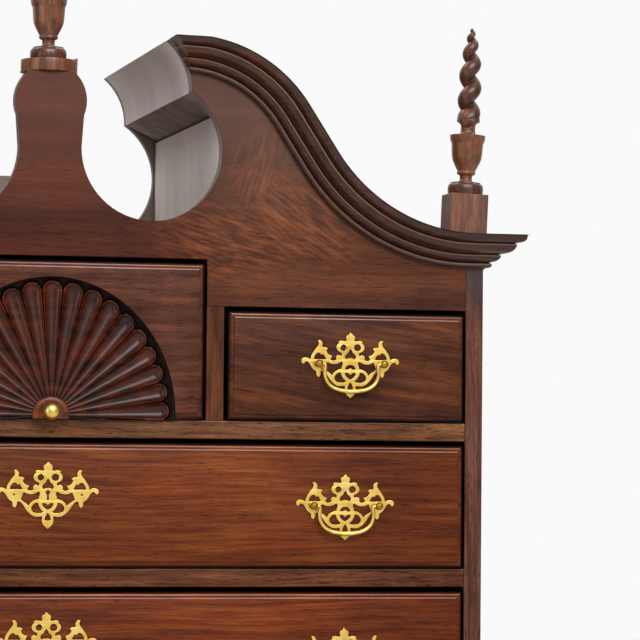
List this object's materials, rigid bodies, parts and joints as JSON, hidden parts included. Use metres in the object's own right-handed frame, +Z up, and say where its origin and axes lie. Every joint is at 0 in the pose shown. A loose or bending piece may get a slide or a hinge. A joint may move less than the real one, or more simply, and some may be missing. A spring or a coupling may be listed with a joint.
{
  "type": "highboy",
  "caption": "Tall chest on a cabriole-legged base, with a swan-neck bonnet, carved fan drawers, corkscrew finials and pierced brass bail pulls.",
  "frame": {"origin": "on the floor, in the middle of the whole object's width and depth", "axes": "+Z up, -Y the front towards which the drawers open, +X the right-hand side seen from the front"},
  "size_m": [1.103, 0.5134, 2.27],
  "materials": {
    "case_wood": "old shellac over figured walnut, satin",
    "drawer_wood": "old shellac over reddish walnut, satin",
    "moulding_wood": "dark polished walnut, satin",
    "turned_wood": "turned walnut, satin",
    "secondary_wood": "raw weathered pine",
    "brass": "cast, lightly polished"
  },
  "bodies": {
    "case": {"upper_sides": "case_wood", "upper_boards": "secondary_wood", "upper_back": "secondary_wood", "upper_blades": "case_wood", "upper_runners": "secondary_wood", "upper_partitions": "case_wood", "scroll_board": "case_wood", "bonnet_back": "secondary_wood", "swan_necks": "moulding_wood", "side_cornices": "moulding_wood", "bonnet_roof": "secondary_wood", "bonnet_lining": "secondary_wood", "finial_plinths": "turned_wood", "finials": "turned_wood", "low_frame": "case_wood", "low_back": "secondary_wood", "low_sides": "case_wood", "apron": "case_wood", "low_runners": "secondary_wood", "front_legs": "case_wood", "rear_legs": "case_wood", "knee_blocks": "case_wood", "apron_drops": "turned_wood", "waist_moulding": "moulding_wood"},
    "long_drawer_1": {"long_drawer_1": "drawer_wood", "long_drawer_1_brasses": "brass"},
    "long_drawer_1_right_bail": {"long_drawer_1_right_bail": "brass"},
    "long_drawer_1_left_bail": {"long_drawer_1_left_bail": "brass"},
    "long_drawer_2": {"long_drawer_2": "drawer_wood", "long_drawer_2_brasses": "brass"},
    "long_drawer_2_right_bail": {"long_drawer_2_right_bail": "brass"},
    "long_drawer_2_left_bail": {"long_drawer_2_left_bail": "brass"},
    "long_drawer_3": {"long_drawer_3": "drawer_wood", "long_drawer_3_brasses": "brass"},
    "long_drawer_3_right_bail": {"long_drawer_3_right_bail": "brass"},
    "long_drawer_3_left_bail": {"long_drawer_3_left_bail": "brass"},
    "long_drawer_4": {"long_drawer_4": "drawer_wood", "long_drawer_4_brasses": "brass"},
    "long_drawer_4_right_bail": {"long_drawer_4_right_bail": "brass"},
    "long_drawer_4_left_bail": {"long_drawer_4_left_bail": "brass"},
    "small_drawer_right": {"small_drawer_right": "drawer_wood", "small_drawer_right_brasses": "brass"},
    "small_drawer_right_bail": {"small_drawer_right_bail": "brass"},
    "low_drawer_right": {"low_drawer_right": "drawer_wood", "low_drawer_right_brasses": "brass"},
    "low_drawer_right_bail": {"low_drawer_right_bail": "brass"},
    "small_drawer_left": {"small_drawer_left": "drawer_wood", "small_drawer_left_brasses": "brass"},
    "small_drawer_left_bail": {"small_drawer_left_bail": "brass"},
    "low_drawer_left": {"low_drawer_left": "drawer_wood", "low_drawer_left_brasses": "brass"},
    "low_drawer_left_bail": {"low_drawer_left_bail": "brass"},
    "low_long_drawer": {"low_long_drawer": "drawer_wood", "low_long_drawer_brasses": "brass"},
    "low_long_drawer_right_bail": {"low_long_drawer_right_bail": "brass"},
    "low_long_drawer_left_bail": {"low_long_drawer_left_bail": "brass"},
    "fan_drawer": {"fan_drawer": "drawer_wood", "fan_drawer_knob": "brass"},
    "low_fan_drawer": {"low_fan_drawer": "drawer_wood", "low_fan_drawer_knob": "brass"}
  },
  "joints": [
    {"name": "long_drawer_1_slide", "type": "slide", "parent": "case", "child": "long_drawer_1", "axis": [0, -1, 0], "range_m": [0, 0.3]},
    {"name": "long_drawer_1_right_bail_hinge", "type": "hinge", "parent": "long_drawer_1", "child": "long_drawer_1_right_bail", "pos_m": [0.3417, -0.21135, 1.57405], "axis": [-1, 0, 0], "range_deg": [-7, 110]},
    {"name": "long_drawer_1_left_bail_hinge", "type": "hinge", "parent": "long_drawer_1", "child": "long_drawer_1_left_bail", "pos_m": [-0.3417, -0.21135, 1.57405], "axis": [-1, 0, 0], "range_deg": [-7, 110]},
    {"name": "long_drawer_2_slide", "type": "slide", "parent": "case", "child": "long_drawer_2", "axis": [0, -1, 0], "range_m": [0, 0.3]},
    {"name": "long_drawer_2_right_bail_hinge", "type": "hinge", "parent": "long_drawer_2", "child": "long_drawer_2_right_bail", "pos_m": [0.3417, -0.21135, 1.3998], "axis": [-1, 0, 0], "range_deg": [-7, 110]},
    {"name": "long_drawer_2_left_bail_hinge", "type": "hinge", "parent": "long_drawer_2", "child": "long_drawer_2_left_bail", "pos_m": [-0.3417, -0.21135, 1.3998], "axis": [-1, 0, 0], "range_deg": [-7, 110]},
    {"name": "long_drawer_3_slide", "type": "slide", "parent": "case", "child": "long_drawer_3", "axis": [0, -1, 0], "range_m": [0, 0.3]},
    {"name": "long_drawer_3_right_bail_hinge", "type": "hinge", "parent": "long_drawer_3", "child": "long_drawer_3_right_bail", "pos_m": [0.3417, -0.21135, 1.2108], "axis": [-1, 0, 0], "range_deg": [-7, 110]},
    {"name": "long_drawer_3_left_bail_hinge", "type": "hinge", "parent": "long_drawer_3", "child": "long_drawer_3_left_bail", "pos_m": [-0.3417, -0.21135, 1.2108], "axis": [-1, 0, 0], "range_deg": [-7, 110]},
    {"name": "long_drawer_4_slide", "type": "slide", "parent": "case", "child": "long_drawer_4", "axis": [0, -1, 0], "range_m": [0, 0.3]},
    {"name": "long_drawer_4_right_bail_hinge", "type": "hinge", "parent": "long_drawer_4", "child": "long_drawer_4_right_bail", "pos_m": [0.3417, -0.21135, 1.0058], "axis": [-1, 0, 0], "range_deg": [-7, 110]},
    {"name": "long_drawer_4_left_bail_hinge", "type": "hinge", "parent": "long_drawer_4", "child": "long_drawer_4_left_bail", "pos_m": [-0.3417, -0.21135, 1.0058], "axis": [-1, 0, 0], "range_deg": [-7, 110]},
    {"name": "small_drawer_right_slide", "type": "slide", "parent": "case", "child": "small_drawer_right", "axis": [0, -1, 0], "range_m": [0, 0.3]},
    {"name": "small_drawer_right_bail_hinge", "type": "hinge", "parent": "small_drawer_right", "child": "small_drawer_right_bail", "pos_m": [0.34635, -0.21135, 1.7356], "axis": [-1, 0, 0], "range_deg": [-7, 110]},
    {"name": "low_drawer_right_slide", "type": "slide", "parent": "case", "child": "low_drawer_right", "axis": [0, -1, 0], "range_m": [0, 0.32]},
    {"name": "low_drawer_right_bail_hinge", "type": "hinge", "parent": "low_drawer_right", "child": "low_drawer_right_bail", "pos_m": [0.33525, -0.23535, 0.6578], "axis": [-1, 0, 0], "range_deg": [-7, 110]},
    {"name": "small_drawer_left_slide", "type": "slide", "parent": "case", "child": "small_drawer_left", "axis": [0, -1, 0], "range_m": [0, 0.3]},
    {"name": "small_drawer_left_bail_hinge", "type": "hinge", "parent": "small_drawer_left", "child": "small_drawer_left_bail", "pos_m": [-0.34635, -0.21135, 1.7356], "axis": [-1, 0, 0], "range_deg": [-7, 110]},
    {"name": "low_drawer_left_slide", "type": "slide", "parent": "case", "child": "low_drawer_left", "axis": [0, -1, 0], "range_m": [0, 0.32]},
    {"name": "low_drawer_left_bail_hinge", "type": "hinge", "parent": "low_drawer_left", "child": "low_drawer_left_bail", "pos_m": [-0.33525, -0.23535, 0.6578], "axis": [-1, 0, 0], "range_deg": [-7, 110]},
    {"name": "low_long_drawer_slide", "type": "slide", "parent": "case", "child": "low_long_drawer", "axis": [0, -1, 0], "range_m": [0, 0.32]},
    {"name": "low_long_drawer_right_bail_hinge", "type": "hinge", "parent": "low_long_drawer", "child": "low_long_drawer_right_bail", "pos_m": [0.3417, -0.23535, 0.8133], "axis": [-1, 0, 0], "range_deg": [-7, 110]},
    {"name": "low_long_drawer_left_bail_hinge", "type": "hinge", "parent": "low_long_drawer", "child": "low_long_drawer_left_bail", "pos_m": [-0.3417, -0.23535, 0.8133], "axis": [-1, 0, 0], "range_deg": [-7, 110]},
    {"name": "fan_drawer_slide", "type": "slide", "parent": "case", "child": "fan_drawer", "axis": [0, -1, 0], "range_m": [0, 0.3]},
    {"name": "low_fan_drawer_slide", "type": "slide", "parent": "case", "child": "low_fan_drawer", "axis": [0, -1, 0], "range_m": [0, 0.32]}
  ]
}
